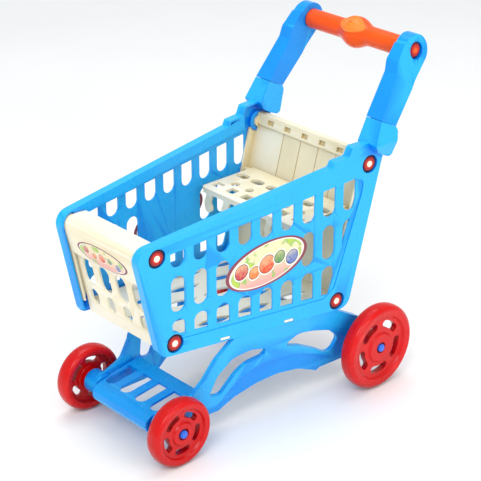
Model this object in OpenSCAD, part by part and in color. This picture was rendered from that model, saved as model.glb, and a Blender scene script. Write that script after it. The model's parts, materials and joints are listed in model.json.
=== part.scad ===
// Child's shopping cart that snaps together from moulded plastic sides, panels and a chassis.
// Millimetres. +X is the cart's right side, the front faces -Y, +Z is up, the floor is z = 0.
// Inside the modules, y runs back from the front axle; at_cart() then centres the whole cart.

/* [Side panels] */
// Half width between the outer faces of the sides, at the front axle
panel_half_w = 69; // [60:0.5:90]
// How far each side turns outwards towards the back, in degrees
panel_taper = 4.76; // [3:0.1:6]
// Wall of a side panel
panel_wall = 2.6; // [2:0.1:3.5]
// Width of the turned-in edge round a side panel
edge_w = 10; // [8:0.5:14]
// Thickness of the turned-in edge
edge_t = 2.4; // [1.6:0.1:3]
// Height of the rim's inner lip
lip_h = 12; // [8:0.5:16]
// Height of the rim's front corner above the floor
rim_front_z = 248.1; // [230:0.5:270]
// Rise of the rim per millimetre towards the back
rim_slope = 0.1039; // [0.06:0.005:0.14]
// Front corner of the rim, ahead of the front axle
rim_front_u = 42.3; // [36:0.5:50]
// Depth of the recessed field inside the border of a side
field_depth = 0.8; // [0.4:0.1:1.2]

/* [Slots] */
// Width of a slot
slot_w = 17; // [12:0.5:20]
// Distance from one slot to the next
slot_pitch = 27.9; // [24:0.1:32]
// Middle of the first column of slots, behind the front axle
slot_first_u = 8.7; // [4:0.1:14]

/* [Wheels and axles] */
// Diameter of the front wheels
front_wheel_d = 75.6; // [60:0.5:84]
// Diameter of the rear wheels
rear_wheel_d = 100; // [80:1:110]
// Width of a wheel
wheel_w = 19; // [14:0.5:21]
// Distance between the axles
wheelbase = 265.4; // [240:1:290]
// Middle of a front wheel from the cart's centre plane
front_track_half = 76.3; // [74:0.5:90]
// Middle of a rear wheel from the cart's centre plane
rear_track_half = 102.9; // [100:0.5:115]
// Diameter of the axle rods
axle_d = 5; // [4:0.1:6]
// Radial clearance of an axle in its bores
axle_gap = 0.06; // [0.03:0.01:0.1]
// Gap between a wheel and the pieces beside it
wheel_side_gap = 0.4; // [0.3:0.1:1]

/* [Pegs and lock rings] */
// Diameter of the pegs that pass through the sides
peg_d = 7; // [6:0.1:8]
// Radial clearance between a peg, its hole and its lock ring
peg_gap = 0.06; // [0.03:0.01:0.1]
// Outer diameter of a lock ring
ring_d = 16.6; // [14:0.2:18]
// Diameter of the recess that a lock ring sits in
ring_recess_d = 20.4; // [18:0.2:22]
// Depth of that recess
ring_recess_depth = 3.6; // [3:0.1:5]

/* [Handle] */
// Height of the grip's centre
grip_z = 375; // [340:1:400]
// Grip's centre behind the front axle
grip_y = 328; // [315:1:340]
// Diameter of the grip
grip_d = 22; // [18:0.5:26]
// Diameter of the grip's swelling at its middle
grip_mid_d = 35; // [26:0.5:38]
// Radius of a handle arm's round head
head_r = 17.5; // [14:0.5:20]

/* [Basket] */
// Wall of the cream pieces
cream_wall = 2.4; // [1.8:0.1:3]
// Pitch of the planks and grille openings across the cart
plank_pitch = 27; // [22:0.5:30]
// Height of the child seat's upper face
seat_z = 216.5; // [200:0.5:225]
// Length of the child seat from its hinge to its front edge
seat_len = 76; // [60:1:80]
// Half width of the child seat
seat_half_w = 74; // [60:0.5:75]
// Length of the bars that hang from the seat's front edge
seat_bar_len = 27; // [15:1:35]

/* [Chassis] */
// Lean of the chassis sides, in degrees
chassis_lean = 11.3; // [6:0.1:14]
// Thickness of a chassis side
chassis_t = 5; // [4:0.2:6]
// Clearance between fixed pieces that lie side by side
seam = 0.2; // [0.1:0.05:0.3]

/* [Hidden] */
$fn = 48;

sky_blue = [0.08, 0.55, 0.95];
cream = [0.98, 0.95, 0.86];
red = [0.86, 0.07, 0.07];
orange = [0.98, 0.35, 0.05];

front_r = front_wheel_d / 2;
rear_r = rear_wheel_d / 2;
rim_r = 14;
rail_z = 123.8;
rail_slope = 0.084;
front_lean = 0.2184;
rear_lean = 0.271;

// Where the pegs pass through a side: along the side, and above the floor
peg_front_top = [-16, 236.3];
peg_front_low = [3.5, 136.3];
peg_rear_low = [217.6, 116.5];
peg_rear_top = [258.5, 266.5];
PEGS = [peg_front_top, peg_front_low, peg_rear_low, peg_rear_top];
peg_tip = 0.3;

// The cart's box runs from the rim's front corner to the back of the arms' heads
rim_corner = [-rim_front_u, rim_front_z];
rim_corner_mid = arc_middle(rail_corner(), rim_corner, [205, rim_z(205)], rim_r);
front_y = (rim_corner_mid.x - rim_r) * cos(panel_taper);
rear_y = grip_y + head_r;
mid_y = (front_y + rear_y) / 2;

// ---- outlines -------------------------------------------------------------------------

function unit(v) = v / norm(v);
function xy(p) = [p.x, p.y];

// Middle of the arc of radius r that rounds corner b between a and c
function arc_middle(a, b, c, r) =
  let (u = unit(a - b), v = unit(c - b), half = acos(u * v) / 2)
  b + unit(u + v) * r / sin(half);

// Points of that arc, or the corner itself when r is 0
function corner_arc(a, b, c, r, steps) =
  let (u = unit(a - b), v = unit(c - b), half = acos(max(-1, min(1, u * v))) / 2)
  r < 0.01 || half > 89.5 ? [b] :
  let (mid = b + unit(u + v) * r / sin(half),
       s = b + u * r / tan(half) - mid, e = b + v * r / tan(half) - mid,
       a0 = atan2(s.y, s.x), turn = atan2(s.x * e.y - s.y * e.x, s * e))
  [for (i = [0:steps]) mid + r * [cos(a0 + turn * i / steps), sin(a0 + turn * i / steps)]];

// A closed outline from corners [x, y, radius]
function rounded(pts, steps = 6) =
  let (n = len(pts))
  [for (i = [0:n - 1])
    each corner_arc(xy(pts[(i + n - 1) % n]), xy(pts[i]), xy(pts[(i + 1) % n]), pts[i].z, steps)];

function left_of(v) = [-v.y, v.x];

// The same corners moved inwards by d; the outline runs anticlockwise
function inset(pts, d) =
  let (n = len(pts))
  [for (i = [0:n - 1])
    let (p = xy(pts[(i + n - 1) % n]), q = xy(pts[i]), s = xy(pts[(i + 1) % n]),
         n1 = left_of(unit(q - p)), n2 = left_of(unit(s - q)),
         convex = (q - p).x * (s - q).y - (q - p).y * (s - q).x > 0,
         m = q + (n1 + n2) * d / (1 + n1 * n2))
    [m.x, m.y, convex ? max(pts[i].z - d, 0.2) : pts[i].z + d]];

// The line beside a path at distance d to its left, with mitred corners
function beside(path, d) =
  let (n = len(path))
  [for (i = [0:n - 1])
    let (a = unit(path[max(i, 1)] - path[max(i, 1) - 1]),
         b = unit(path[min(i, n - 2) + 1] - path[min(i, n - 2)]),
         n1 = left_of(a), n2 = left_of(b))
    path[i] + (n1 + n2) * d / (1 + n1 * n2)];

// A strip of thickness t along a path
module strip(path, t) {
  far = beside(path, -t / 2);
  polygon(concat(beside(path, t / 2), [for (i = [len(far) - 1:-1:0]) far[i]]));
}

module stadium(w, h) {
  square([w, h - w], center = true);
  for (s = [-1, 1]) translate([0, s * (h - w) / 2]) circle(d = w, $fn = 24);
}

// ---- places ---------------------------------------------------------------------------

module at_cart() translate([0, -mid_y, 0]) children();
module left_hand() mirror([1, 0, 0]) children();

// Outline (u, z) of a side, extruded from depth a to depth b; 0 is the outer face
module on_side(a, b) {
  translate([panel_half_w, 0, 0]) rotate([0, 0, -panel_taper]) rotate([90, 0, 90])
    translate([0, 0, a]) linear_extrude(b - a) children();
}

module at_peg(p) {
  translate([panel_half_w, 0, 0]) rotate([0, 0, -panel_taper])
    translate([0, p.x, p.y]) rotate([0, 90, 0]) children();
}

// Outline on the chassis side's plane, which leans inwards below the rail
module on_chassis(a, b) {
  translate([panel_half_w, 0, 0]) rotate([0, 0, -panel_taper])
    translate([0, 0, chassis_top]) rotate([0, chassis_lean, 0])
      translate([0, 0, -chassis_top]) rotate([90, 0, 90])
        translate([0, 0, a]) linear_extrude(b - a) children();
}

// Half width between the outer faces at y
function half_w(y) = panel_half_w + tan(panel_taper) * y;

// The space between the sides, clear of them by gap, as a prism from y0 to y1
module between_sides(gap, y0 = -60, y1 = 300) {
  inner = (panel_wall + gap) / cos(panel_taper);
  linear_extrude(320) polygon([
    [-half_w(y0) + inner, y0], [half_w(y0) - inner, y0],
    [half_w(y1) - inner, y1], [-half_w(y1) + inner, y1]
  ]);
}

// A (y, z) outline carried across the cart from -half to half
module across(half) {
  translate([-half, 0, 0]) rotate([90, 0, 90]) linear_extrude(2 * half) children();
}

// ---- side panels ----------------------------------------------------------------------

chassis_top = 117;
function rim_z(u) = rim_front_z + rim_slope * (u + rim_front_u);
function rail_low_z(u) = rail_z - rail_slope * u;
function rail_corner() = [-15.2, rail_low_z(-15.2)];

step_u = 207;
post_top = 291;

SIDE = [
  [rail_corner().x, rail_corner().y, 14], [233.5, rail_low_z(233.5), 14],
  [276.5, 272, 2], [272, 284, 2], [262, post_top, 2], [234, post_top, 3],
  [229, rim_z(229) + 4.5, 3], [step_u + 3, rim_z(step_u) + 6, 2],
  [step_u, rim_z(step_u), 1.5], [-rim_front_u, rim_front_z, rim_r]
];

// Border line of the recessed field
FIELD = [
  [-10, 141, 8], [198, 124.5, 6], [213, 133, 12], [249, 236, 6], [251, 252, 7],
  [236, 252.5, 4], [-22, rim_z(-22) - 13.5, 6], [-32, 226, 6]
];

function slot_u(i) = slot_first_u + i * slot_pitch;
function slot_top(u) = 235.8 + 0.0796 * u;
function low_slot_z(u) = 146 - 0.0875 * u;

row1_low = 220;
row2_low = 170.4;
row2_top = 210;
row3_top = 162.2;

module upper_slot(u) {
  r = slot_w / 2;
  translate([u, row1_low + r]) circle(r);
  polygon([
    [u - r, row1_low + r], [u + r, row1_low + r],
    [u + r, slot_top(u + r)], [u - r, slot_top(u - r)]
  ]);
}

module middle_slot(u) {
  translate([u, (row2_low + row2_top) / 2]) stadium(slot_w, row2_top - row2_low);
}

module lower_slot(u) {
  r = slot_w / 2;
  translate([u, row3_top - r]) circle(r);
  polygon([
    [u - r, low_slot_z(u - r)], [u + r, low_slot_z(u + r)],
    [u + r, row3_top - r], [u - r, row3_top - r]
  ]);
}

// The slots, kept inside a line that runs beside the border
module side_slots() {
  intersection() {
    union() {
      for (i = [0:8]) upper_slot(slot_u(i));
      for (i = [0, 1, 2, 6, 7, 8]) middle_slot(slot_u(i));
      for (i = [0:7]) lower_slot(slot_u(i));
    }
    polygon([[7, 120], [197, 120], [205, 126], [242, 236], [243, 262], [-3, 262], [-3, 180]]);
  }
}

WINDOWS = [[66.5, 121.2], [151, 114.2]];
window_w = 12.5;
window_h = 3.6;

module snap_windows(grow = 0) {
  for (w = WINDOWS)
    translate(w) rotate(-atan(rail_slope))
      square([window_w + 2 * grow, window_h + 2 * grow], center = true);
}

// Turned-in edge round the front, the rim and the rear
module side_edge() {
  difference() {
    on_side(-edge_w, 0) difference() {
      polygon(rounded(SIDE));
      polygon(rounded(inset(SIDE, edge_t)));
      polygon([[-60, 80], [300, 80], [300, 128], [226, 128], [0, 150], [-8, 132], [-60, 132]]);
    }
  }
}

// Lip that hangs from the inner edge of the rim, cut back at its front end
module rim_lip() {
  on_side(-edge_w, -edge_w + 2) polygon([
    [-26, rim_z(-26) - 1], [-14, rim_z(-14) - lip_h], [step_u + 26, rim_z(step_u + 26) - lip_h],
    [step_u + 26, rim_z(step_u + 26) + 4], [step_u, rim_z(step_u) - 0.5]
  ]);
}

// Socket on top of the post that takes a handle arm
COLLAR = [
  [254.6, 289.5, 1.5], [259.5, 281, 4], [269.8, 275.6, 2], [279, 271.8, 3], [284, 273.5, 3],
  [289.5, 299, 1.5], [287.5, 303.6, 0.8], [267, 313.4, 0.8]
];
collar_in = 74.5;
collar_out_top = 96.6;
collar_out_low = 101.6;
collar_low_z = 290;
collar_top_z = 313.4;

// Side profile (y, z) between the x limits that a front profile (x, z) gives
module arm_block(side_pts, front_pts) {
  intersection() {
    rotate([90, 0, 90]) linear_extrude(140) polygon(rounded(side_pts));
    translate([0, 400, 0]) rotate([90, 0, 0]) linear_extrude(400) polygon(front_pts);
  }
}

module collar() {
  arm_block(COLLAR, [
    [collar_in, 262], [96.6, 262], [98.2, 276], [collar_out_low, collar_low_z - 3],
    [collar_out_low, collar_low_z], [collar_out_top, collar_top_z], [collar_in, collar_top_z]
  ]);
}

// Plug at the foot of a handle arm, and the cavity it fits when grown
module arm_plug(grow = 0) {
  arm_block(
    [[265.5 - grow, 289 - grow, 0], [275.5 + grow, 284 - grow, 0],
     [285.5 + grow, 304.5, 0], [284, 306, 0], [271, 312.6, 0], [270 - grow, 311, 0]],
    [[collar_in + 3 - grow, 270], [93 + grow, 270], [93 + grow, 320], [collar_in + 3 - grow, 320]]
  );
}

module side_panel() {
  color(sky_blue) difference() {
    union() {
      on_side(-panel_wall, 0) difference() {
        polygon(rounded(SIDE));
        side_slots();
      }
      side_edge();
      rim_lip();
      collar();
      for (p = PEGS) at_peg(p) translate([0, 0, -6.5]) cylinder(d = ring_recess_d + 3, h = 6.5);
    }
    on_side(-field_depth, 1) polygon(rounded(FIELD));
    on_side(-panel_wall - 1, 1) snap_windows();
    for (p = PEGS) at_peg(p) {
      translate([0, 0, -ring_recess_depth]) cylinder(d = ring_recess_d, h = 12);
      translate([0, 0, -20]) cylinder(d = peg_d + 2 * peg_gap, h = 40);
    }
    arm_plug(0.15);
  }
}

module side_panel_right() at_cart() side_panel();
module side_panel_left() at_cart() left_hand() side_panel();

// ---- chassis sides --------------------------------------------------------------------

function chassis_v(z) = chassis_top - (chassis_top - z) / cos(chassis_lean);
front_hub = [0, chassis_v(front_r)];
rear_hub = [wheelbase / cos(panel_taper), chassis_v(rear_r)];
hub_r = 13;

CHASSIS = [
  [4, front_hub.y + 14, 6], [30, front_hub.y + 20, 14], [44, 72, 14], [56, 94, 16],
  [78, rail_low_z(78) - seam, 0.5], [216, rail_low_z(216) - seam, 4], [252, 84, 14],
  [rear_hub.x + 16, rear_hub.y + 14, 14], [rear_hub.x + 16, rear_hub.y - 22, 16],
  [212, 25, 2], [208, 22, 2], [179, 36, 50], [149, 41, 60], [120, 39, 40], [91, 31, 20],
  [72, 20, 4], [56, 20, 4], [front_hub.x + 4, front_hub.y - 13, 4],
  [front_hub.x - 13, front_hub.y - 13, 12], [front_hub.x - 13, front_hub.y + 14, 12]
];

// Raised band above the lower lip
BAND = [
  [14, front_hub.y + 14, 6], [30, front_hub.y + 20, 14], [44, 72, 14], [56, 94, 16],
  [78, rail_low_z(78) - seam, 0.5], [216, rail_low_z(216) - seam, 4], [252, 84, 14],
  [rear_hub.x + 12, rear_hub.y + 14, 10], [rear_hub.x + 12, rear_hub.y - 10, 10],
  [232, 33, 12], [203, 48, 40], [174, 60, 60], [146, 66, 60], [115, 66, 40], [88, 54, 40],
  [66, 28, 3], [14, 28, 6]
];

EYE = [
  [150, 80, 3], [169, 90, 16], [190, 86, 30], [214, 78, 16], [231, 62, 10], [222, 42, 8],
  [199, 57, 24], [176, 70, 24]
];

LEG_SLOT = [
  [54, 47, 5], [62, 72, 12], [80, 90, 16], [104, 92.5, 30], [128, 85, 3.5], [121, 77, 3.5],
  [99, 74.5, 20], [86, 65, 30], [70, 43.5, 6]
];

lip_drop = 1.8;

module chassis_side() {
  color(sky_blue) difference() {
    union() {
      on_chassis(-chassis_t, -lip_drop) difference() {
        polygon(rounded(CHASSIS));
        polygon(rounded(EYE));
        polygon(rounded(LEG_SLOT));
      }
      on_chassis(-chassis_t, 0) difference() {
        polygon(rounded(BAND));
        polygon(rounded(EYE));
        polygon(rounded(LEG_SLOT));
      }
      on_side(-chassis_t, -panel_wall - seam) difference() {
        polygon([
          [86, rail_low_z(86) - 4], [212, rail_low_z(212) - 4],
          [206, rail_low_z(206) + 8], [92, rail_low_z(92) + 8]
        ]);
        snap_windows(0.6);
      }
      hub_tube(0, front_r, half_w(0) - 22, front_track_half - wheel_w / 2 - wheel_side_gap);
      hub_tube(wheelbase, rear_r, half_w(wheelbase) - 22,
        rear_track_half - wheel_w / 2 - wheel_side_gap);
    }
    on_side(-panel_wall - seam, 10) polygon([
      [50, rail_low_z(50) - seam], [245, rail_low_z(245) - seam], [245, 150], [50, 150]
    ]);
    at_peg(peg_rear_low) translate([0, 0, -7]) cylinder(d = ring_recess_d + 3.6, h = 20);
    axle_hole(0, front_r);
    axle_hole(wheelbase, rear_r);
    intersection() {
      translate([0, -100, 0]) cube([half_w(0) - 22, 500, 100]);
      hub_tube(0, front_r, 0, 60);
    }
  }
}

module hub_tube(y, z, x0, x1) {
  translate([x0, y, z]) rotate([0, 90, 0]) cylinder(r = hub_r, h = x1 - x0);
}

module axle_hole(y, z) {
  translate([-200, y, z]) rotate([0, 90, 0]) cylinder(d = axle_d + 2 * axle_gap, h = 400);
}

module chassis_side_right() at_cart() chassis_side();
module chassis_side_left() at_cart() left_hand() chassis_side();

// ---- front deck -----------------------------------------------------------------------

deck_t = 2.6;
deck_slot_w = 15;
deck_pitch = 25;
DECK = [
  [-15, 30], [-17.2, 35], [-16.4, 40], [-12.5, 44], [-7, 46], [34, 51], [49, 53], [51, 45]
];

// The deck's half width at y, just inside the chassis sides
function deck_half(y) = half_w(y) - 23;

module deck_slot(x) {
  translate([x, 1.6 + deck_slot_w / 2 - 5, 0]) linear_extrude(100) {
    circle(d = deck_slot_w);
    translate([-deck_slot_w / 2, 0]) square([deck_slot_w, 29]);
  }
}

module front_deck() at_cart() color(sky_blue) difference() {
  union() {
    intersection() {
      across(80) strip(DECK, deck_t);
      linear_extrude(100) polygon([
        [-deck_half(-20), -20], [deck_half(-20), -20], [deck_half(60), 60], [-deck_half(60), 60]
      ]);
    }
    for (s = [-1, 1]) intersection() {
      translate([s * (deck_half(0) - 6) - 1.5, 0, 0]) rotate([90, 0, 90])
        linear_extrude(3) polygon([
          [-15.5, 31], [-8, 25], [10, 25], [50.5, 44], [49, 52], [34, 50], [-7, 45], [-12, 43],
          [-15.5, 39]
        ]);
      translate([-200, -100, 0]) cube([400, 200, 100]);
    }
  }
  for (i = [-1.5:1:1.5]) deck_slot(i * deck_pitch);
  axle_hole(0, front_r);
}

// ---- axles, wheels, caps --------------------------------------------------------------

cap_d = 9;
cap_len = 5;
hub_recess_d = 13;
hub_recess_depth = 4;

module rod(y, z, half) {
  translate([-half, y, z]) rotate([0, 90, 0]) cylinder(d = axle_d, h = 2 * half);
}

// The rod's end stops just short of the bottom of the cap's hole
function cap_x(track) = track + wheel_w / 2 - hub_recess_depth - 1 + wheel_side_gap;
function rod_half(track) = cap_x(track) + cap_len - 1.5 - seam;

module front_axle() at_cart() color("silver") rod(0, front_r, rod_half(front_track_half));
module rear_axle() at_cart() color("silver") rod(wheelbase, rear_r, rod_half(rear_track_half));

// Half section of a wheel (distance from the axle, distance along it)
function wheel_outline(r) = let (w = wheel_w / 2, face = w - 4, web = 2.2) rounded([
  [axle_d / 2 + axle_gap, -w, 0], [r * 0.3, -w, 1], [r * 0.34, -web, 1.5], [r * 0.72, -web, 2],
  [r * 0.76, -w + 1.2, 1.5], [r * 0.9, -w, 3], [r - 1.2, -w * 0.72, 4], [r, -2.5, 8], [r, 2.5, 8],
  [r - 1.2, w * 0.72, 4], [r * 0.9, w, 3], [r * 0.76, w - 0.8, 1.5], [r * 0.72, face, 1.5],
  [r * 0.36, face, 1.5], [r * 0.32, face + 2.4, 1.2], [hub_recess_d / 2, face + 2.4, 0.5],
  [hub_recess_d / 2, w - hub_recess_depth - 1, 0], [axle_d / 2 + axle_gap, w - hub_recess_depth - 1, 0]
]);

module wheel_window(r) {
  mid = r * 0.55;
  w = r * 0.17;
  arc = 36;
  rotate([0, 0, -arc / 2]) rotate_extrude(angle = arc) translate([mid - w / 2, -wheel_w])
    square([w, 2 * wheel_w]);
  for (s = [-1, 1]) rotate([0, 0, s * arc / 2]) translate([mid, 0, -wheel_w])
    cylinder(d = w, h = 2 * wheel_w, $fn = 24);
}

// The outer face points to +X; turn sets where the windows start
module wheel(r, y, track, turn) {
  color(red) translate([track, y, r]) rotate([0, 90, 0]) rotate([0, 0, turn]) difference() {
    rotate_extrude($fn = 96) polygon(wheel_outline(r));
    for (i = [0:4]) rotate([0, 0, 72 * i]) wheel_window(r);
  }
}

module front_wheel_right() at_cart() wheel(front_r, 0, front_track_half, 0);
module front_wheel_left() at_cart() left_hand() wheel(front_r, 0, front_track_half, 20);
module rear_wheel_right() at_cart() wheel(rear_r, wheelbase, rear_track_half, 0);
module rear_wheel_left() at_cart() left_hand() wheel(rear_r, wheelbase, rear_track_half, 35);

// Push-on cap in the wheel's hub recess, on the end of the rod
module cap(y, z, track) {
  color(sky_blue) translate([cap_x(track), y, z]) rotate([0, 90, 0]) difference() {
    union() {
      cylinder(d = cap_d, h = cap_len - 1);
      cylinder(d = cap_d - 2, h = cap_len);
    }
    translate([0, 0, -1]) cylinder(d = axle_d + 2 * axle_gap, h = cap_len - 0.5);
  }
}

module axle_caps() at_cart() for (m = [0, 1]) mirror([m, 0, 0]) {
  cap(0, front_r, front_track_half);
  cap(wheelbase, rear_r, rear_track_half);
}

// ---- handle ---------------------------------------------------------------------------

ARM = [
  [287.3, 303.8, 0.5], [316.5, 336, 12], [321, 342.6, 6], [336, 359, 4],
  [330, 380, 0.5], [311, 384.5, 0.5], [297.8, 368.5, 5], [295.6, 357, 5], [267.2, 313.8, 0.5]
];
arm_in_low = 74.5;
arm_in_top = 70;
arm_out_low = 96.6;
arm_out_top = 83;
arm_low_z = 303;
arm_top_z = 393;

module arm_limits() {
  translate([0, 400, 0]) rotate([90, 0, 0]) linear_extrude(400) polygon([
    [arm_in_low, arm_low_z], [collar_out_top + 1.9, arm_low_z], [arm_out_top, arm_top_z],
    [arm_in_top, arm_top_z]
  ]);
}

module handle_arm() {
  color(sky_blue) difference() {
    union() {
      intersection() {
        rotate([90, 0, 90]) linear_extrude(140) difference() {
          union() {
            polygon(rounded(ARM));
            translate([grip_y, grip_z]) circle(head_r);
            polygon([
              [grip_y, grip_z], [grip_y - head_r * 0.77, grip_z + head_r * 0.64],
              [298.5, 370], [296, 358], [316, 338], [grip_y + head_r * 0.74, grip_z - head_r * 0.67]
            ]);
          }
          translate([0, -seam]) polygon([
            [240, 326.6], [267, 313.4], [287.5, 303.6], [310, 292.8], [310, 280], [240, 280]
          ]);
        }
        arm_limits();
      }
      arm_plug();
      arm_block(
        [[270, 311, 0], [285, 303.8, 0], [288, 309, 0], [273, 316, 0]],
        [[collar_in + 3, 300], [93, 300], [93, 320], [collar_in + 3, 320]]
      );
    }
    translate([60, grip_y, grip_z]) rotate([0, 90, 0]) {
      cylinder(d = peg_d + 2 * peg_gap, h = 60);
      translate([0, 0, grip_ring_x - 60]) cylinder(d = ring_recess_d - 1.4, h = 30);
    }
  }
}

grip_ring_x = 82.2;
grip_half = 70.9;

module handle_arm_right() at_cart() handle_arm();
module handle_arm_left() at_cart() left_hand() handle_arm();

// Radius of the grip at x: a cosine swelling in the middle
grip_swell = 22;
function grip_radius(x) = abs(x) > grip_swell ? grip_d / 2
  : grip_d / 2 + (grip_mid_d - grip_d) / 4 * (1 + cos(180 * x / grip_swell));

module grip() at_cart() color(orange) translate([0, grip_y, grip_z]) rotate([0, 90, 0]) {
  rotate_extrude($fn = 64) polygon([
    [0, -grip_half + 0.6], [grip_d / 2, -grip_half + 0.6],
    for (i = [-8:8]) [grip_radius(i * grip_swell / 8), i * grip_swell / 8],
    [grip_d / 2, grip_half - 0.6], [0, grip_half - 0.6]
  ]);
  cylinder(d = peg_d, h = 2 * (grip_ring_x + ring_recess_depth - peg_tip), center = true);
}

// ---- basket: front panel ----------------------------------------------------------------

// The front edge of the sides at height z
function front_edge(z) = -rim_front_u + (rim_front_z - z) * front_lean;
border_in = edge_t + 1.4;
grille_in = 11;
panel_low_z = 128;
hood_r = rim_r - edge_t - 1.5;
floor_top = 139;
function floor_z(y) = floor_top - 0.0875 * y;

grille_low = [front_edge(panel_low_z) + grille_in, panel_low_z];
grille_top = [front_edge(200) + grille_in, 200];
brow_low = [front_edge(206) + border_in + cream_wall / 2 + 1.2, 206];
brow = [front_edge(231) + border_in + cream_wall / 2, 231];
hood_mid = rim_corner_mid;
hood_path_r = hood_r - cream_wall / 2;
HOOD = [
  for (a = [192:-14:94]) hood_mid + hood_path_r * [cos(a), sin(a)],
  [-16, hood_mid.y + hood_path_r - 0.4], [-7, hood_mid.y + hood_path_r - 1.6]
];

module grille_opening(x, z, w, h) {
  translate([x, z]) stadium(w, h);
}

module front_grille_cut() {
  for (i = [-1.5:1:1.5]) {
    grille_opening(i * plank_pitch, 184, 17, 32);
    grille_opening(i * plank_pitch, 153, 13, 19);
  }
}

module front_panel() at_cart() color(cream) {
  difference() {
    union() {
      intersection() {
        across(100) strip(concat([grille_low, grille_top, brow_low, brow], HOOD), cream_wall);
        between_sides(0.5);
        union() {
          translate([-100, -80, 0]) cube([200, 55, 400]);
          linear_extrude(400) polygon([
            [-half_w(-30) + edge_w + 1, -30], [half_w(-30) - edge_w - 1, -30],
            [half_w(10) - edge_w - 1, 10], [-half_w(10) + edge_w + 1, 10]
          ]);
        }
      }
      for (m = [0, 1]) mirror([m, 0, 0]) front_panel_side();
    }
    translate([0, 20, 0]) rotate([90, 0, 0]) linear_extrude(80) front_grille_cut();
    for (m = [0, 1]) mirror([m, 0, 0]) at_peg(peg_front_low)
      translate([0, 0, -7]) cylinder(d = ring_recess_d + 3.6, h = 20);
  }
}

// Side wall of the front panel with its peg and its front border strip
module front_panel_side() {
  wall_in = -panel_wall - 0.3;
  difference() {
    on_side(wall_in - 2, wall_in) polygon(rounded([
      [front_edge(143) + border_in, 143, 1], [-8, 143, 1], [-5, 226, 3], [0, 232, 1],
      [0, 239, 1], [-22, 241.5, 2], [-30, 243, 6],
      [front_edge(238) + border_in, 238, 3]
    ]));
    at_peg(peg_front_top) translate([0, 0, -7]) cylinder(d = ring_recess_d + 3.4, h = 7);
  }
  on_side(-12, wall_in) polygon([
    [front_edge(143) + border_in, 143], [front_edge(143) + border_in + 2, 143],
    [front_edge(231) + border_in + 2, 231], [front_edge(231) + border_in, 231]
  ]);
  on_side(-9.5, wall_in - 4) polygon(rounded([
    [front_edge(227) + border_in + 0.5, 227, 0.5], [peg_front_top.x + 11, 227, 5],
    [peg_front_top.x + 11, peg_front_top.y + 1.5, 3], [front_edge(235) + border_in + 0.5, 235, 0.5]
  ]));
  at_peg(peg_front_top) translate([0, 0, -9]) cylinder(d = peg_d, h = 9 - peg_tip);
}

// ---- basket: rear panel -----------------------------------------------------------------

function rear_face(z) = 218.4 + rear_lean * (z - peg_rear_low.y);
rear_low_z = 121.5;
rear_top_z = 276;
hinge_y = 239.5;
hinge_z = 213;
hinge_pin_d = 5;

// Box on the rear panel's leaning plane: x0..x1, from d0 to d1 behind its face, z0..z1
module rear_slab(x0, x1, d0, d1, z0, z1) {
  translate([x0, 0, 0]) rotate([90, 0, 90]) linear_extrude(x1 - x0) polygon([
    [rear_face(z0) + d0, z0], [rear_face(z0) + d1, z0],
    [rear_face(z1) + d1, z1], [rear_face(z1) + d0, z1]
  ]);
}

module rear_panel() at_cart() color(cream) difference() {
  union() {
    intersection() {
      union() {
        rear_slab(-100, 100, 0, cream_wall, rear_low_z, rear_top_z);
        rear_slab(-100, 100, -3, 4.5, rear_top_z - 2, rear_top_z);
        rear_slab(-100, 100, -3, 0.5, rear_top_z - 12, rear_top_z - 1);
      }
      difference() {
        between_sides(0.5);
        for (m = [0, 1]) mirror([m, 0, 0]) for (p = [peg_rear_low, peg_rear_top])
          at_peg(p) translate([0, 0, -7]) cylinder(d = ring_recess_d + 3.6, h = 20);
      }
    }
    for (m = [0, 1]) mirror([m, 0, 0]) rear_panel_side();
  }
  for (i = [-1.5:1:1.5])
    rear_slab(i * plank_pitch - 0.5, i * plank_pitch + 0.5, -1, 0.9, rear_low_z + 3, rear_top_z - 12.5);
  for (i = [-2:1:2])
    rear_slab(i * plank_pitch - 12, i * plank_pitch - 2.5, -4, 0.4, rear_top_z - 9.5, rear_top_z - 4);
  translate([-100, hinge_y, hinge_z]) rotate([0, 90, 0])
    cylinder(d = hinge_pin_d + 0.12, h = 200);
}

// Side flange of the rear panel with its peg
module rear_panel_side() {
  wall_in = -panel_wall - 0.3;
  flange_d = 11;
  difference() {
    on_side(wall_in - 2.2, wall_in) polygon(rounded([
      [rear_face(150) + 1.2, 150, 1], [rear_face(272) + 1.4, 272, 1],
      [rear_face(272) - 4, 272, 2], [rear_face(258) - flange_d, 258, 6],
      [rear_face(160) - flange_d, 160, 4]
    ]));
    at_peg(peg_rear_top) translate([0, 0, -7]) cylinder(d = ring_recess_d + 3.4, h = 7);
  }
  at_peg(peg_rear_top) translate([0, 0, -12]) cylinder(d = peg_d, h = 12 - peg_tip);
  at_peg(peg_rear_top) translate([0, 0, -9.5]) cylinder(d = 13, h = 2.6);
  on_side(-9.5, wall_in - 4) polygon([
    [peg_rear_top.x - 5, peg_rear_top.y - 4], [rear_face(peg_rear_top.y - 4) + 1.5, peg_rear_top.y - 4],
    [rear_face(peg_rear_top.y + 4) + 1.5, peg_rear_top.y + 4], [peg_rear_top.x - 5, peg_rear_top.y + 4]
  ]);
}

// ---- basket: floor ----------------------------------------------------------------------

floor_y0 = -2.5;
floor_y1 = 226;
lens_len = 46;
lens_w = 12;
lens_pitch = 55;

// Opening with two curved sides and pointed ends
module lens(len, w) {
  r = (len * len / 4 + w * w / 4) / w;
  intersection() {
    translate([r - w / 2, 0]) circle(r, $fn = 96);
    translate([-r + w / 2, 0]) circle(r, $fn = 96);
  }
}

module floor_lenses() {
  for (i = [-2:2], j = [0:4]) {
    x = i * plank_pitch;
    y = 14 + j * lens_pitch - (i % 2 == 0 ? 0 : lens_pitch / 2);
    room = half_w(y) - 14;
    if (y > 0 && y < 205 && abs(x) + lens_w / 2 < room) translate([x, y]) lens(lens_len, lens_w);
  }
}

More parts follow.
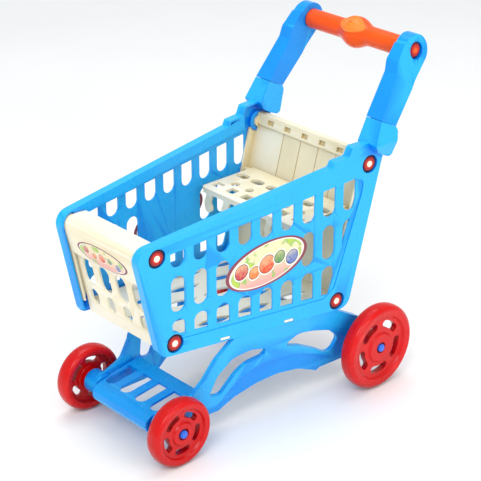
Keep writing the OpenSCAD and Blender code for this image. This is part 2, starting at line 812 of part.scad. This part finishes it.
module basket_floor() at_cart() color(cream) {
  wall_in = -chassis_t - 0.4;
  difference() {
    intersection() {
      across(100) polygon([
        [floor_y0, floor_z(floor_y0)], [floor_y1, floor_z(floor_y1)],
        [floor_y1, floor_z(floor_y1) - cream_wall], [floor_y0, floor_z(floor_y0) - cream_wall]
      ]);
      between_sides(0.4);
      union() {
        between_sides(4.6);
        translate([-100, -30, 0]) cube([200, 58, 200]);
      }
    }
    linear_extrude(200) floor_lenses();
    for (m = [0, 1]) mirror([m, 0, 0]) for (p = [peg_front_low, peg_rear_low])
      at_peg(p) translate([0, 0, -7]) cylinder(d = ring_recess_d + 3.6, h = 20);
  }
  for (m = [0, 1]) mirror([m, 0, 0]) {
    difference() {
      on_side(wall_in - 2, wall_in) polygon([
        [17, floor_z(17)], [17, rail_low_z(17) + 1], [203, rail_low_z(203) + 1], [203, floor_z(203)]
      ]);
      on_side(wall_in - 4, wall_in + 1) square(0.01);
    }
    for (p = [peg_front_low, peg_rear_low]) {
      at_peg(p) translate([0, 0, -11]) cylinder(d = peg_d, h = 11 - peg_tip);
      at_peg(p) translate([0, 0, -11]) cylinder(d = peg_d + 1.4, h = 4);
    }
    on_side(wall_in - 1, -0.4) snap_windows(-0.4);
  }
  intersection() {
    across(100) for (y = [floor_y0, floor_y1 - cream_wall])
      translate([y, floor_z(y) - 12]) square([cream_wall, 12.5]);
    between_sides(5);
  }
}

// ---- child seat -------------------------------------------------------------------------

seat_t = 3;
bar_w = 11;
BAR_X = [-62, -34, 34, 62];

// Hanging bar whose sides wave: its middle is narrower and shifted
module wavy_bar(x) {
  half = bar_w / 2;
  n = 12;
  side = function (s) [for (i = [0:n]) let (t = s > 0 ? i / n : 1 - i / n)
    [x + s * half + 1.6 * sin(360 * t) - s * 1.2 * sin(180 * t), seat_z - 1 - t * (seat_bar_len - half)]];
  polygon(concat(side(1), side(-1)));
  translate([x, seat_z - 1 - (seat_bar_len - half)]) circle(half, $fn = 24);
}

module seat_openings() {
  y1 = hinge_y;
  for (s = [-1, 1]) {
    for (k = [0:2]) translate([s * (17 + 23 * k), y1 - 60]) square([12, 11], center = true);
    for (k = [0:1]) translate([s * (28.5 + 23 * k), y1 - 45]) circle(5, $fn = 24);
    for (k = [0:2]) translate([s * (15 + 24 * k), y1 - 23]) rotate(90) stadium(11, 18);
  }
  translate([0, y1 - 42]) rotate(90) stadium(11, 20);
}

module child_seat() at_cart() color(cream) {
  difference() {
    translate([0, 0, seat_z - seat_t]) linear_extrude(seat_t) difference() {
      polygon(rounded([
        [-seat_half_w, hinge_y - seat_len, 5], [seat_half_w, hinge_y - seat_len, 5],
        [seat_half_w, hinge_y + 3, 1], [-seat_half_w, hinge_y + 3, 1]
      ]));
      seat_openings();
    }
  }
  translate([0, hinge_y - seat_len + seat_t, 0]) rotate([90, 0, 0]) linear_extrude(seat_t) {
    for (x = BAR_X) wavy_bar(x);
    translate([-seat_half_w + 4, seat_z - 6]) square([2 * seat_half_w - 8, 5]);
  }
  for (m = [0, 1]) mirror([m, 0, 0]) {
    translate([seat_half_w - 8, hinge_y, hinge_z]) rotate([0, 90, 0])
      cylinder(d = hinge_pin_d, h = half_w(hinge_y) - panel_wall - 0.8 - seat_half_w + 8);
    translate([seat_half_w - 8, hinge_y, hinge_z]) rotate([0, 90, 0]) cylinder(d = 6.9, h = 8);
  }
}

// ---- lock rings -------------------------------------------------------------------------

ring_flange = 3.2;

// Ring with a thin flange and a raised inner collar, its back face at z = 0
module lock_ring(d, depth) {
  color([0.7, 0.09, 0.09]) difference() {
    union() {
      cylinder(d = d + ring_flange, h = 1.2);
      cylinder(d = d, h = depth - 1.2);
      cylinder(d = d - 3, h = depth - 0.5);
    }
    translate([0, 0, -1]) cylinder(d = peg_d + 2 * peg_gap, h = depth + 2);
  }
}

module side_lock_rings() {
  for (p = PEGS) at_peg(p) translate([0, 0, -ring_recess_depth])
    lock_ring(ring_d, ring_recess_depth);
}

module lock_rings_right() at_cart() side_lock_rings();
module lock_rings_left() at_cart() left_hand() side_lock_rings();
module grip_lock_rings() at_cart() for (m = [0, 1]) mirror([m, 0, 0])
  translate([grip_ring_x, grip_y, grip_z]) rotate([0, 90, 0]) lock_ring(ring_d - 2, 3.4);

// ---- labels -----------------------------------------------------------------------------

label_t = 0.4;
side_label_mid = [120.8, 190.6];
side_label_size = [107, 50];
front_label_size = [80, 25];

module oval(size) scale([size.x / size.y, 1]) circle(d = size.y, $fn = 96);

module side_label() {
  color([0.98, 0.93, 0.8]) on_side(-field_depth, -field_depth + label_t)
    translate(side_label_mid) rotate(atan(rim_slope)) polygon([
      for (i = [0:71]) [side_label_size.x / 2 * cos(5 * i), side_label_size.y / 2 * sin(5 * i)]
    ]);
}

module side_label_right() at_cart() side_label();
module side_label_left() at_cart() left_hand() side_label();

label_slope = atan2(brow.y - brow_low.y, brow_low.x - brow.x);
module front_label() at_cart() color([0.98, 0.93, 0.8])
  translate([0, (brow_low.x + brow.x) / 2, (brow_low.y + brow.y) / 2])
    rotate([180 - label_slope, 0, 0]) translate([0, 0, cream_wall / 2 + 0.02])
      linear_extrude(label_t) polygon([
        for (i = [0:71]) [front_label_size.x / 2 * cos(5 * i), front_label_size.y / 2 * sin(5 * i)]
      ]);

side_panel_right();
side_panel_left();
chassis_side_right();
chassis_side_left();
handle_arm_right();
handle_arm_left();
grip();
front_panel();
rear_panel();
basket_floor();
child_seat();
front_deck();
front_axle();
rear_axle();
front_wheel_right();
front_wheel_left();
rear_wheel_right();
rear_wheel_left();
axle_caps();
lock_rings_right();
lock_rings_left();
grip_lock_rings();
side_label_right();
side_label_left();
front_label();
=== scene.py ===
"""Looks for the child's snap-together shopping cart: moulded plastic, labels, floor, light and camera."""
import json
from math import cos, radians, sin

import bmesh
import bpy
import numpy as np
from mathutils import Matrix, Vector


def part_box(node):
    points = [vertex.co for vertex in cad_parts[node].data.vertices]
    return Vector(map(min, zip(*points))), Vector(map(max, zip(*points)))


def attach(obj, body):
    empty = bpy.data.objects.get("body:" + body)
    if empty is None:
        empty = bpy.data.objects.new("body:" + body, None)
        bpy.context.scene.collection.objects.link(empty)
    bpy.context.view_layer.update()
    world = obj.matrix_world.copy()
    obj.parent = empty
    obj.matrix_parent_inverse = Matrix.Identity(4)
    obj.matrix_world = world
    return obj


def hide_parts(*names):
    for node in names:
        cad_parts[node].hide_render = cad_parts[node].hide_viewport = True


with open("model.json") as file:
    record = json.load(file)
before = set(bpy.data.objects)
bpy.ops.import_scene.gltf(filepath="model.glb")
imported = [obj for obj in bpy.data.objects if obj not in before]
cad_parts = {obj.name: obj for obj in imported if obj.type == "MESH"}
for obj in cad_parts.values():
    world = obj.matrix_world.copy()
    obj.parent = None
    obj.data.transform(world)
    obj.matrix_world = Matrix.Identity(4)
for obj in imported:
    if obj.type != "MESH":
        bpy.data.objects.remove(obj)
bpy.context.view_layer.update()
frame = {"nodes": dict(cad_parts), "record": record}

# Sizes the looks share with the CAD model, in metres
MID_Y = 0.153191
GRIP_Y, GRIP_Z = 0.328 - MID_Y, 0.375
GRIP_R, GRIP_MID_R, GRIP_SWELL = 0.011, 0.0175, 0.022

# sRGB colours of the mouldings: main, a painted highlight for edges, a painted shade for creases and
# hollows; the last two also tint random specks and clouds
BLUE = ("#009CF4", "#30C8FF", "#0564DE")
CREAM = ("#F9F0D2", "#FFFAEC", "#CDB678")
RED = ("#DC0404", "#F8281C", "#8C0404")
ORANGE = ("#FF5A0A", "#FF8A3C", "#D83002")
BADGE_ORANGE = ("#FF8A2C", "#FFCE8A", "#F05A08")
CAP_BLUE = ("#2A6CE8", "#6C9CFF", "#1C4CB8")

# sRGB colours of the lock rings from the peg outwards, the outermost a painted shadow of the recess gap
# round the ring, and of the axles
RING_COLLAR, RING_SHOULDER, RING_GAP_SHADOW = "#D2261C", "#A81616", "#14102E"
STEEL, TARNISH = "#B9BBBD", "#77706A"

# sRGB colours of the printed labels; each dot has its radius as a share of the label's half height
LABEL_BORDER, LABEL_PAPER, LABEL_FILL = "#8A3C48", "#FFF8EC", "#F6E3B4"
LABEL_PINK, LABEL_GREEN, LABEL_LIME = "#EFA9A0", "#7DBB5A", "#C9D83A"
DOT_OUTLINE, DOT_SHINE = "#3A2A30", "#FFE9B0"
LABEL_DOTS = (("#C8283C", 0.40), ("#F0701E", 0.34), ("#E8481C", 0.46), ("#3C8C4A", 0.34), ("#2F64B8", 0.38))

# Printed ovals, in metres; the side labels' rows rise to the rear
SIDE_LABEL_SIZE, SIDE_LABEL_SLOPE = (0.1065, 0.050), 0.104
FRONT_LABEL_SIZE = (0.081, 0.0247)

# The photo's camera: degrees round from the front, degrees up, place in metres, lens in mm
CAMERA_AZIMUTH, CAMERA_ELEVATION = 47.60, 25.33
CAMERA_PLACE = (1.12707, -0.87402 - MID_Y, 0.90066)
CAMERA_LENS = 117.08

# Lamps: name, place, aim, size in metres, power in watts
LAMPS = (
    ("key", (0.9, -1.5, 1.9), (0, 0, 0.15), 1.1, 21.0),
    ("fill", (1.9, -0.2, 1.1), (0, 0, 0.15), 1.4, 13.0),
    ("top", (-0.3, 0.3, 2.3), (0, 0, 0.1), 1.6, 20.0),
)
SKY, SKY_STRENGTH = "#F4F7FA", 0.68


def linear(hexa):
    """sRGB hex colour as linear RGBA: c / 12.92 below 0.04045, else ((c + 0.055) / 1.055) ** 2.4."""
    c = [int(hexa[i:i + 2], 16) / 255 for i in (1, 3, 5)]
    return [v / 12.92 if v <= 0.04045 else ((v + 0.055) / 1.055) ** 2.4 for v in c] + [1.0]


# ---- materials ----------------------------------------------------------------------------

def node(mat, kind, settings=None, **inputs):
    """Adds a node of that kind; each input is a value or another node's output socket. An input is given by
    name, with _ for a space, or as i0, i1 and so on by number."""
    n = mat.node_tree.nodes.new("ShaderNode" + kind)
    for name, value in (settings or {}).items():
        setattr(n, name, value)
    for name, value in inputs.items():
        numbered = name[0] == "i" and name[1:].isdigit()
        socket = n.inputs[int(name[1:]) if numbered else name.replace("_", " ")]
        if isinstance(value, bpy.types.NodeSocket):
            mat.node_tree.links.new(value, socket)
        else:
            socket.default_value = value
    return n


def math(mat, operation, a, b=0.0):
    """Output of a maths node."""
    return node(mat, "Math", {"operation": operation}, i0=a, i1=b).outputs[0]


def hypot(mat, a, b):
    """Output for sqrt(a * a + b * b)."""
    return math(mat, "SQRT", math(mat, "ADD", math(mat, "MULTIPLY", a, a), math(mat, "MULTIPLY", b, b)))


def mix(mat, factor, a, b):
    """Output of a colour mix: a where factor is 0, b where it is 1."""
    return node(mat, "MixRGB", i0=factor, i1=a, i2=b).outputs[0]


def start(name):
    """A new material with its Principled shader and Object coordinates."""
    mat = bpy.data.materials.new(name)
    mat.use_nodes = True
    return mat, mat.node_tree.nodes["Principled BSDF"], node(mat, "TexCoord").outputs["Object"]


def noise(mat, where, scale, detail=3.0):
    """Noise value from 0 to 1; scale is in features per metre."""
    return node(mat, "TexNoise", Vector=where, Scale=scale, Detail=detail).outputs[0]


def remap(mat, value, low, high, to_low, to_high):
    """Maps value's range low..high to to_low..to_high, clamped."""
    return node(mat, "MapRange", i0=value, i1=low, i2=high, i3=to_low, i4=to_high).outputs[0]


def finish_surface(mat, shader, where, rough, bump=0.05, coat=0.25):
    """Moulded skin: fine grain and slow waviness as bump, smudges and hairline scuffs in the roughness."""
    smudge = noise(mat, where, 38.0, 5.0)
    stretched = node(mat, "Mapping", Vector=where, Scale=(1.0, 9.0, 1.0)).outputs[0]
    scuff = noise(mat, stretched, 620.0, 2.0)
    level = math(mat, "ADD", remap(mat, smudge, 0.35, 0.7, rough - 0.05, rough + 0.09),
                 remap(mat, scuff, 0.66, 0.78, 0.0, 0.10))
    mat.node_tree.links.new(level, shader.inputs["Roughness"])
    grain, wave = noise(mat, where, 1400.0, 2.0), noise(mat, where, 55.0, 2.0)
    height = math(mat, "ADD", grain, math(mat, "MULTIPLY", wave, 3.0))
    skin = node(mat, "Bump", Strength=bump, Distance=0.0004, Height=height)
    mat.node_tree.links.new(skin.outputs[0], shader.inputs["Normal"])
    shader.inputs["Coat Weight"].default_value = coat
    shader.inputs["Coat Roughness"].default_value = 0.12
    shader.inputs["IOR"].default_value = 1.46
    shader.inputs["Specular IOR Level"].default_value = 0.32


def moulded(name, colours, rough=0.28, glow=0.0, coat=0.25):
    """Coloured injection-moulded plastic: painted highlight making convex edges paler, painted shade making
    creases and hollows deeper, slow random variation between.
    colours are sRGB hex for the plastic, the painted edge highlight and the painted crease shade; glow is
    the subsurface weight."""
    mat, shader, where = start(name)
    colour, pale, deep = colours
    cloud = noise(mat, where, 14.0, 4.0)
    base = mix(mat, remap(mat, cloud, 0.3, 0.7, 0.0, 0.35), linear(colour), linear(deep))
    speck = remap(mat, noise(mat, where, 2600.0, 1.0), 0.72, 0.80, 0.0, 0.10)
    base = mix(mat, speck, base, linear(pale))
    point = node(mat, "NewGeometry").outputs["Pointiness"]
    # painted highlight: convex edges, found by pointiness, turn towards the pale colour
    base = mix(mat, remap(mat, point, 0.53, 0.62, 0.0, 0.55), base, linear(pale))
    # painted shade: concave creases, found by pointiness, turn towards the deep colour
    base = mix(mat, remap(mat, point, 0.47, 0.38, 0.0, 0.5), base, linear(deep))
    # painted shade: hollows, found by ambient occlusion, turn towards the deep colour
    hollow = node(mat, "AmbientOcclusion", {"samples": 6}, Distance=0.035).outputs["AO"]
    base = mix(mat, remap(mat, hollow, 0.25, 0.85, 0.75, 0.0), base, linear(deep))
    mat.node_tree.links.new(base, shader.inputs["Base Color"])
    if glow:
        shader.inputs["Subsurface Weight"].default_value = glow
        shader.inputs["Subsurface Radius"].default_value = (0.004, 0.003, 0.002)
        shader.inputs["Subsurface Scale"].default_value = 0.5
    finish_surface(mat, shader, where, rough, coat=coat)
    return mat


def drawn_steel(name):
    """Drawn steel rod: fine lines along it, a slight tarnish."""
    mat, shader, where = start(name)
    lines = noise(mat, node(mat, "Mapping", Vector=where, Scale=(0.05, 1.0, 1.0)).outputs[0], 3000.0, 3.0)
    tint = mix(mat, remap(mat, noise(mat, where, 60.0), 0.4, 0.7, 0.0, 0.4), linear(STEEL), linear(TARNISH))
    mat.node_tree.links.new(tint, shader.inputs["Base Color"])
    mat.node_tree.links.new(remap(mat, lines, 0.3, 0.7, 0.22, 0.42), shader.inputs["Roughness"])
    shader.inputs["Metallic"].default_value = 1.0
    return mat


def printed_label(name, centre, slope, size, axes=("Y", "Z")):
    """Printed film: a dark oval border, a pale field with soft patches, and a row of plain coloured dots.
    centre and size are in metres along the two axes; slope is the row's rise along the first axis."""
    mat, shader, where = start(name)
    split = node(mat, "SeparateXYZ", Vector=where)
    u0 = math(mat, "SUBTRACT", split.outputs[axes[0]], centre[0])
    v0 = math(mat, "SUBTRACT", split.outputs[axes[1]], centre[1])
    v0 = math(mat, "SUBTRACT", v0, math(mat, "MULTIPLY", u0, slope))
    u = math(mat, "DIVIDE", u0, size[0] / 2)
    v = math(mat, "DIVIDE", v0, size[1] / 2)
    radius = hypot(mat, u, v)
    field = mix(mat, remap(mat, v, -0.7, 0.2, 0.0, 1.0), linear(LABEL_PINK), linear(LABEL_FILL))
    leaf = math(mat, "ADD", noise(mat, where, 70.0), math(mat, "MULTIPLY", math(mat, "ABSOLUTE", u), 0.16))
    field = mix(mat, remap(mat, leaf, 0.60, 0.66, 0.0, 0.85), field, linear(LABEL_GREEN))
    field = mix(mat, remap(mat, leaf, 0.66, 0.72, 0.0, 0.7), field, linear(LABEL_LIME))
    for i, (dot, big) in enumerate(LABEL_DOTS):
        du = math(mat, "MULTIPLY", math(mat, "SUBTRACT", u, (i - 2) * 0.31), size[0] / size[1])
        dv = math(mat, "SUBTRACT", v, 0.16 * cos(i * 2.4) - 0.04)
        far = hypot(mat, du, dv)
        shade = remap(mat, math(mat, "ADD", dv, noise(mat, where, 260.0)), 0.2, 0.8, 0.0, 0.45)
        fill = mix(mat, shade, linear(dot), linear(DOT_SHINE))
        for inset, paint in ((0.0, linear(LABEL_PAPER)), (0.05, linear(DOT_OUTLINE)), (0.08, fill)):
            edge = big - inset
            field = mix(mat, remap(mat, far, edge - 0.01, edge + 0.01, 1.0, 0.0), field, paint)
    field = mix(mat, remap(mat, radius, 0.87, 0.885, 0.0, 1.0), field, linear(LABEL_PAPER))
    field = mix(mat, remap(mat, radius, 0.91, 0.925, 0.0, 1.0), field, linear(LABEL_BORDER))
    mat.node_tree.links.new(field, shader.inputs["Base Color"])
    finish_surface(mat, shader, where, 0.32, 0.03, coat=0.4)
    return mat


blue = moulded("moulded_blue_plastic", BLUE, rough=0.26, coat=0.12)
cream = moulded("moulded_cream_plastic", CREAM, rough=0.36, glow=0.08, coat=0.08)
red = moulded("moulded_red_plastic", RED, coat=0.12)
orange = moulded("moulded_orange_plastic", ORANGE, rough=0.3, glow=0.04, coat=0.12)


def ring_plastic(name):
    """Lock ring: bright red collar, dark red shoulder and, outermost, a near-black navy painted shadow of
    the recess gap, by the from_peg distance that mark_distance stores."""
    mat, shader, where = start(name)
    far = node(mat, "Attribute", {"attribute_name": "from_peg"}).outputs["Fac"]
    grain = math(mat, "MULTIPLY", noise(mat, where, 300.0), 0.0004)
    far = math(mat, "ADD", far, grain)
    to_shoulder = remap(mat, far, 0.0055, 0.0066, 0.0, 1.0)
    base = mix(mat, to_shoulder, linear(RING_COLLAR), linear(RING_SHOULDER))
    # painted shadow: the ring's outer flange turns near-black navy where the recess round it lies in shade
    base = mix(mat, remap(mat, far, 0.0072, 0.0086, 0.0, 1.0), base, linear(RING_GAP_SHADOW))
    mat.node_tree.links.new(base, shader.inputs["Base Color"])
    finish_surface(mat, shader, where, 0.3, 0.04)
    return mat


ring_red = ring_plastic("moulded_dark_red_plastic")
cap_blue = moulded("moulded_cap_plastic", CAP_BLUE)
steel = drawn_steel("drawn_axle_steel")


# ---- pieces from the CAD nodes ------------------------------------------------------------

BODY_OF = {n: b for b, names in frame["record"]["behaviour"]["bodies"].items() for n in names}
SLOT_OF = {s["node"]: s["material_slot"] for s in frame["record"]["subparts"]}
BY_SLOT = {
    "blue_plastic": blue, "cream_plastic": cream, "red_plastic": red, "orange_plastic": orange,
    "ring_plastic": ring_red, "cap_plastic": cap_blue, "axle_steel": steel,
}


def add(name, mesh, material, body):
    """A piece of the object from a mesh, riding on that body, with that material."""
    piece = bpy.data.objects.new(name, mesh)
    bpy.context.scene.collection.objects.link(piece)
    mesh.materials.clear()
    mesh.materials.append(material)
    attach(piece, body)
    return piece


def moulding(node_name, round_edge, segments=2, material=None):
    """The CAD node's solid with welded corners, whole faces and rounded moulded edges, standing for that
    node. round_edge is the bevel's width in metres; the material is the slot's own unless one is given."""
    mesh = frame["nodes"][node_name].data.copy()
    mesh.name = node_name + "_skin"
    bm = bmesh.new()
    bm.from_mesh(mesh)
    bmesh.ops.remove_doubles(bm, verts=bm.verts, dist=0.00002)
    bmesh.ops.dissolve_limit(bm, angle_limit=radians(0.6), verts=bm.verts, edges=bm.edges)
    for f in bm.faces:
        f.smooth = True
    bm.to_mesh(mesh)
    bm.free()
    slot = SLOT_OF[node_name]
    piece = add(node_name + "_skin", mesh, material or BY_SLOT[slot], BODY_OF[node_name])
    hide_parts(node_name)
    bevel = piece.modifiers.new("rounded_edges", "BEVEL")
    bevel.width = round_edge
    bevel.segments = segments
    bevel.limit_method = "ANGLE"
    bevel.angle_limit = radians(32)
    bevel.use_clamp_overlap = True
    bevel.harden_normals = True
    flat = piece.modifiers.new("face_normals", "WEIGHTED_NORMAL")
    flat.keep_sharp = True
    return piece


for n in ("side_panel_right", "side_panel_left", "chassis_side_right", "chassis_side_left"):
    moulding(n, 0.0006)
for n in ("handle_arm_right", "handle_arm_left"):
    moulding(n, 0.0022, 3)
for n in ("front_panel", "rear_panel", "basket_floor", "child_seat", "front_deck"):
    moulding(n, 0.0005)
for n in ("front_wheel_right", "front_wheel_left", "rear_wheel_right", "rear_wheel_left"):
    moulding(n, 0.0007)
moulding("grip", 0.0012)


def mark_distance(piece):
    """Stores each vertex's distance from its own ring's middle as from_peg, leaving out x, which runs nearly
    along the peg. A ring is a set of connected vertices, and its middle is that of their box."""
    mesh = piece.data
    group = np.arange(len(mesh.vertices))
    ends = np.empty(len(mesh.edges) * 2, dtype=np.int32)
    mesh.edges.foreach_get("vertices", ends)
    ends = ends.reshape(-1, 2)
    for _ in range(400):  # each pass spreads the lowest index to the neighbours
        low = np.minimum(group[ends[:, 0]], group[ends[:, 1]])
        before = group.copy()
        np.minimum.at(group, ends[:, 0], low)
        np.minimum.at(group, ends[:, 1], low)
        if (before == group).all():
            break
    place = np.empty(len(mesh.vertices) * 3, dtype=np.float32)
    mesh.vertices.foreach_get("co", place)
    place = place.reshape(-1, 3)
    far = np.empty(len(place), dtype=np.float32)
    for g in np.unique(group):
        mine = group == g
        middle = (place[mine].min(axis=0) + place[mine].max(axis=0)) / 2
        far[mine] = np.linalg.norm((place[mine] - middle)[:, 1:], axis=1)
    mesh.attributes.new("from_peg", "FLOAT", "POINT").data.foreach_set("value", far)


moulding("axle_caps", 0.0004)
for n in ("lock_rings_right", "lock_rings_left", "grip_lock_rings"):
    mark_distance(moulding(n, 0.0003))
for n in ("front_axle", "rear_axle"):
    moulding(n, 0.0004)


# ---- labels and badge ---------------------------------------------------------------------

def label_piece(node_name, material):
    """The label's disc with softened rim."""
    moulding(node_name, 0.0001, 1, material)


for hand in ("right", "left"):
    low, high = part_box("side_label_" + hand)
    centre = ((low[1] + high[1]) / 2, (low[2] + high[2]) / 2)
    label_piece("side_label_" + hand, printed_label(
        "printed_side_label_" + hand, centre, SIDE_LABEL_SLOPE, SIDE_LABEL_SIZE))
low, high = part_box("front_label")
centre = (0.0, (low[2] + high[2]) / 2)
label_piece("front_label", printed_label("printed_front_label", centre, 0.0, FRONT_LABEL_SIZE, ("X", "Z")))


def grid_mesh(name, points, closed_u=False):
    """Mesh from an (n, m, 3) array of points; quads between neighbours, and from the last row to the first
    if closed_u."""
    n, m = points.shape[:2]
    faces = []
    for i in range(n if closed_u else n - 1):
        for j in range(m - 1):
            a, b = i * m + j, (i + 1) % n * m + j
            faces.append((a, b, b + 1, a + 1))
    mesh = bpy.data.meshes.new(name)
    mesh.from_pydata(points.reshape(-1, 3).tolist(), [], faces)
    for f in mesh.polygons:
        f.use_smooth = True
    return mesh


def grip_radius(x):
    """The grip's radius at x: a cosine swelling in the middle of a plain tube."""
    swell = (GRIP_MID_R - GRIP_R) / 2 * (1 + np.cos(np.pi * np.clip(np.abs(x) / GRIP_SWELL, 0, 1)))
    return GRIP_R + swell


def grip_badge(half_x=0.0178, half_s=0.0118, rings=44, steps=96, facing=radians(128)):
    """Oval moulded badge that hugs the grip's swelling: polar grid (t, rho), x = half_x rho cos t and
    arc = half_s rho sin t, at radius grip_radius(x) + lift about the grip's axis. lift is a 0.45 mm step
    with a raised border at rho 0.9, an inner line at rho 0.68 and a five-lobed boss in the middle. The last
    ring of points goes 0.3 mm into the grip. facing is the angle about X from +Y."""
    t = np.linspace(0, 2 * np.pi, steps, endpoint=False)[:, None]
    rho = np.concatenate([np.linspace(0.02, 1.0, rings), [1.0]])[None, :]
    border = 0.0008 * np.exp(-((rho - 0.9) / 0.05) ** 2)
    inner_line = 0.0005 * np.exp(-((rho - 0.68) / 0.04) ** 2)
    boss = 0.0006 * np.exp(-(rho / 0.38) ** 4) * (1 + 0.5 * np.cos(5 * t))
    lift = 0.00045 + border + inner_line + boss
    lift = np.broadcast_to(lift, (steps, rings + 1)).copy()
    lift[:, -1] = -0.0003
    x = half_x * rho * np.cos(t)
    r = grip_radius(x) + lift
    angle = facing + half_s * rho * np.sin(t) / GRIP_MID_R
    points = np.stack([x, GRIP_Y + r * np.cos(angle), GRIP_Z + r * np.sin(angle)], axis=-1)
    return grid_mesh("grip_badge", points[::-1], closed_u=True)


badge_orange = moulded("moulded_pale_orange_plastic", BADGE_ORANGE, rough=0.3, coat=0.12)
add("grip_badge", grip_badge(), badge_orange, "cart")


# ---- floor, light and camera --------------------------------------------------------------

def studio_floor(reach=3.5, flat_to=2.2, bend=1.2, rows=30, flat_steps=24, bend_steps=14, turn=0.83):
    """A pale sweep: flat under the cart, curving up behind it from flat_to with radius bend. Lengths are in
    metres, and turn, in radians about Z, puts the curve behind the cart as the camera sees it."""
    steps = flat_steps + bend_steps
    u = np.linspace(-reach, reach, rows)
    arc = np.linspace(0.1, np.pi / 2, bend_steps)
    run = np.concatenate([np.linspace(-reach, flat_to, flat_steps), flat_to + bend * np.sin(arc)])
    rise = np.concatenate([np.zeros(flat_steps), bend * (1 - np.cos(arc))])
    points = np.stack([np.repeat(u[:, None], steps, 1), np.repeat(run[None, :], rows, 0),
                       np.repeat(rise[None, :] - 0.00005, rows, 0)], axis=-1)
    spin = np.array([[cos(turn), -sin(turn), 0], [sin(turn), cos(turn), 0], [0, 0, 1]])
    floor = bpy.data.objects.new("studio_floor", grid_mesh("studio_floor", points @ spin.T))
    bpy.context.scene.collection.objects.link(floor)
    mat, shader, where = start("pale_matt_paper")
    cloud = remap(mat, noise(mat, where, 3.0), 0.3, 0.7, 0.0, 1.0)
    tone = mix(mat, cloud, linear("#F6F6F5"), linear("#FBFBFA"))
    mat.node_tree.links.new(tone, shader.inputs["Base Color"])
    shader.inputs["Roughness"].default_value = 0.7
    floor.data.materials.append(mat)


def soft_light(name, place, aim, size, power):
    """Square area light at place that faces aim."""
    light = bpy.data.lights.new(name, "AREA")
    light.size = size
    light.energy = power
    lamp = bpy.data.objects.new(name, light)
    lamp.location = place
    lamp.rotation_euler = (Vector(aim) - Vector(place)).to_track_quat("-Z", "Y").to_euler()
    bpy.context.scene.collection.objects.link(lamp)


def camera_at(azimuth, elevation, place, lens):
    """Camera that looks along (azimuth, elevation) in degrees, upright, from place."""
    az, el = radians(azimuth), radians(elevation)
    back = Vector((sin(az) * cos(el), -cos(az) * cos(el), sin(el)))
    right = Vector((cos(az), sin(az), 0))
    up = back.cross(right)
    data = bpy.data.cameras.new("camera")
    data.lens, data.sensor_width = lens, 36.0
    data.clip_start, data.clip_end = 0.01, 30.0
    camera = bpy.data.objects.new("camera", data)
    camera.matrix_world = Matrix.Translation(place) @ Matrix((right, up, back)).transposed().to_4x4()
    bpy.context.scene.collection.objects.link(camera)
    bpy.context.scene.camera = camera


bpy.context.scene.view_settings.view_transform = "Standard"
studio_floor()
for lamp_values in LAMPS:
    soft_light(*lamp_values)
world = bpy.data.worlds.new("soft_white")
world.use_nodes = True
background = world.node_tree.nodes["Background"]
background.inputs["Color"].default_value = linear(SKY)
background.inputs["Strength"].default_value = SKY_STRENGTH
bpy.context.scene.world = world
camera_at(CAMERA_AZIMUTH, CAMERA_ELEVATION, CAMERA_PLACE, CAMERA_LENS)
